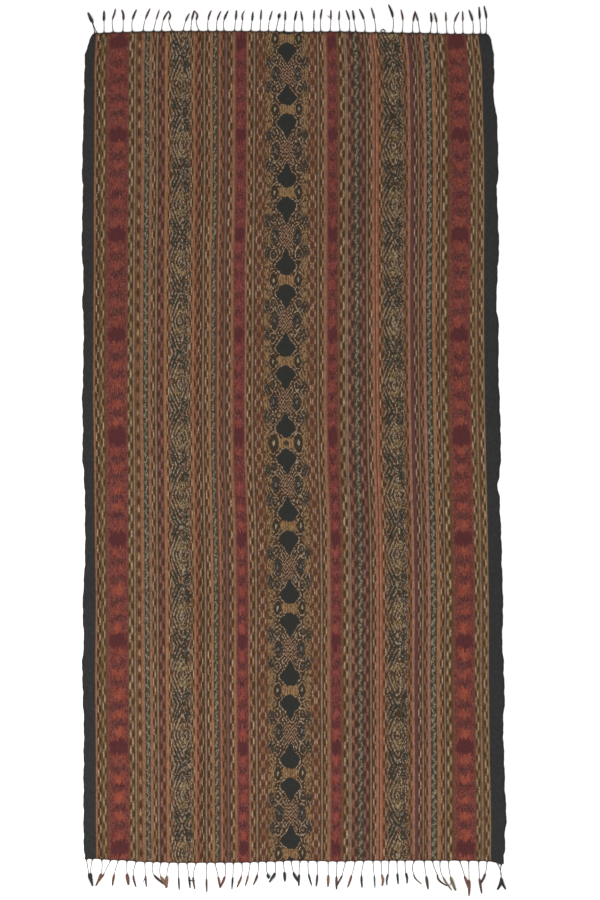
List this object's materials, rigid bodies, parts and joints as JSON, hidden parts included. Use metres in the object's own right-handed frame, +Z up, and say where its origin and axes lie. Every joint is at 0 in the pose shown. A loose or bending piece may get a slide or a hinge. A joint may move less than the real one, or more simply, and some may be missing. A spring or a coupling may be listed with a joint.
{
  "type": "ikat woven cloth",
  "caption": "Long flat warp-ikat wrap cloth with narrow lengthwise stripes, dark selvedges and a short knotted fringe at each end.",
  "frame": {"origin": "middle of the whole piece, fringes and all, on the surface that it lies on", "axes": "+Y up the length of the cloth, +X across it to the right, +Z up off the floor"},
  "size_m": [1.061, 2.227, 0.006],
  "materials": {
    "ikat_cotton": "matt handwoven warp-faced cotton, striped in maroon, tan, olive and black",
    "fringe_cotton": "matt twisted cotton cord, dark brown to black"
  },
  "bodies": {
    "root": {"ikat_cloth": "ikat_cotton", "fringe_top": "fringe_cotton", "fringe_bottom": "fringe_cotton"}
  },
  "joints": []
}
